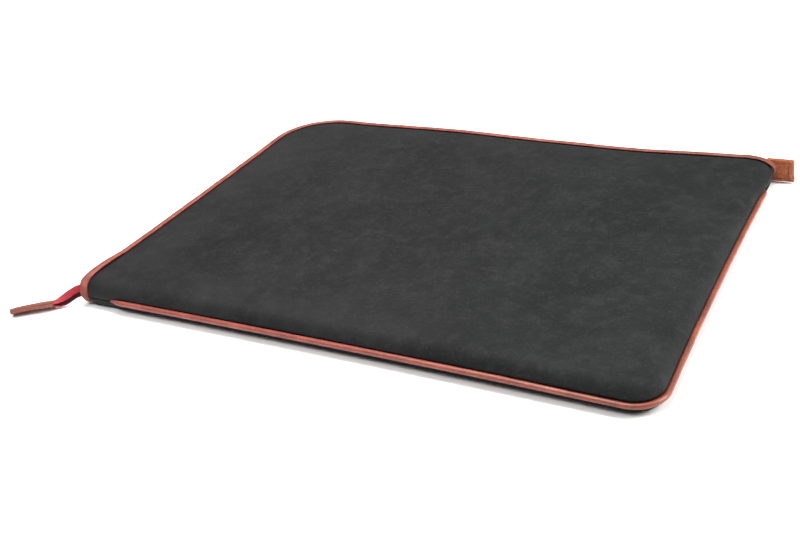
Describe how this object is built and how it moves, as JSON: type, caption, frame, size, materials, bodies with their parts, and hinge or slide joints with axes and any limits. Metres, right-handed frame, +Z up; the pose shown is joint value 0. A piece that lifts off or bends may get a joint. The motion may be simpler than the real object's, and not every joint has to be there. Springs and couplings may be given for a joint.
{
  "type": "laptop sleeve",
  "caption": "Flat padded leather laptop sleeve with a piped seam on its front and right sides and a zip round its left and back sides, so that the back left corner opens.",
  "frame": {"origin": "on the underside, at the middle of the sleeve's footprint (half way between the middle of the piping and the outer face of the zip binding)", "axes": "+X along the long front edge to the right, +Y to the back, +Z up out of the top panel"},
  "size_m": [0.3925, 0.2836, 0.016],
  "materials": {
    "panel_leather": "matt waxed nubuck with faint pull-up marks",
    "foam": "matt closed-cell foam",
    "lining_cloth": "woven cotton lining",
    "trim_leather": "smooth satin leather, soft highlights on the rounded edge",
    "tab_leather": "satin leather with raw cut edges",
    "piping_cord": "twisted cotton cord",
    "thread": "waxed sewing thread",
    "zip_tape": "woven zip tape",
    "zip_coil": "nylon coil",
    "zip_metal": "satin nickel plate"
  },
  "bodies": {
    "base": {"bottom_cover": "panel_leather", "bottom_padding": "foam", "bottom_lining": "lining_cloth", "top_cover_front": "panel_leather", "top_padding_front": "foam", "top_lining_front": "lining_cloth", "seam_piping": "trim_leather", "piping_cord": "piping_cord", "seam_binding_tape": "lining_cloth", "zip_binding_lower": "trim_leather", "binding_stitching_lower": "thread", "zip_binding_upper_ends": "trim_leather", "binding_stitching_ends": "thread", "zip_tape_lower": "zip_tape", "zip_tape_upper_ends": "zip_tape", "zip_coil_lower": "zip_coil", "zip_coil_upper_ends": "zip_coil", "zip_top_stops": "zip_metal", "zip_end_tab": "tab_leather", "end_tab_stitching": "thread"},
    "flap": {"top_cover_flap": "panel_leather", "top_padding_flap": "foam", "top_lining_flap": "lining_cloth", "zip_binding_upper": "trim_leather", "binding_stitching_upper": "thread", "zip_tape_upper": "zip_tape", "zip_coil_upper": "zip_coil"},
    "slider": {"slider_body": "zip_metal", "slider_crown": "zip_metal"},
    "puller": {"pull_link": "zip_metal", "pull_tag": "tab_leather", "pull_tag_stitching": "thread"},
    "tail": {"tail_tape": "zip_tape", "tail_coil": "zip_coil", "zip_bottom_stop": "zip_metal", "tail_tab": "tab_leather", "tail_tab_stitching": "thread"}
  },
  "joints": [
    {"name": "flap_open", "type": "hinge", "parent": "base", "child": "flap", "pos_m": [-0.03225, 0.01325, 0.016], "axis": [0.778, 0.6282, 0], "range_deg": [0, 35]},
    {"name": "slider_slide", "type": "slide", "parent": "base", "child": "slider", "axis": [-1, 0, 0], "range_m": [0, 0.26]},
    {"name": "pull_swing", "type": "hinge", "parent": "slider", "child": "puller", "pos_m": [0.147, 0.1285, 0.008], "axis": [0, 0, -1], "range_deg": [0, 165]},
    {"name": "tail_swing", "type": "hinge", "parent": "base", "child": "tail", "pos_m": [-0.17241, -0.12641, 0.0084], "axis": [-0.6102, 0.7923, 0], "range_deg": [0, 60]}
  ]
}
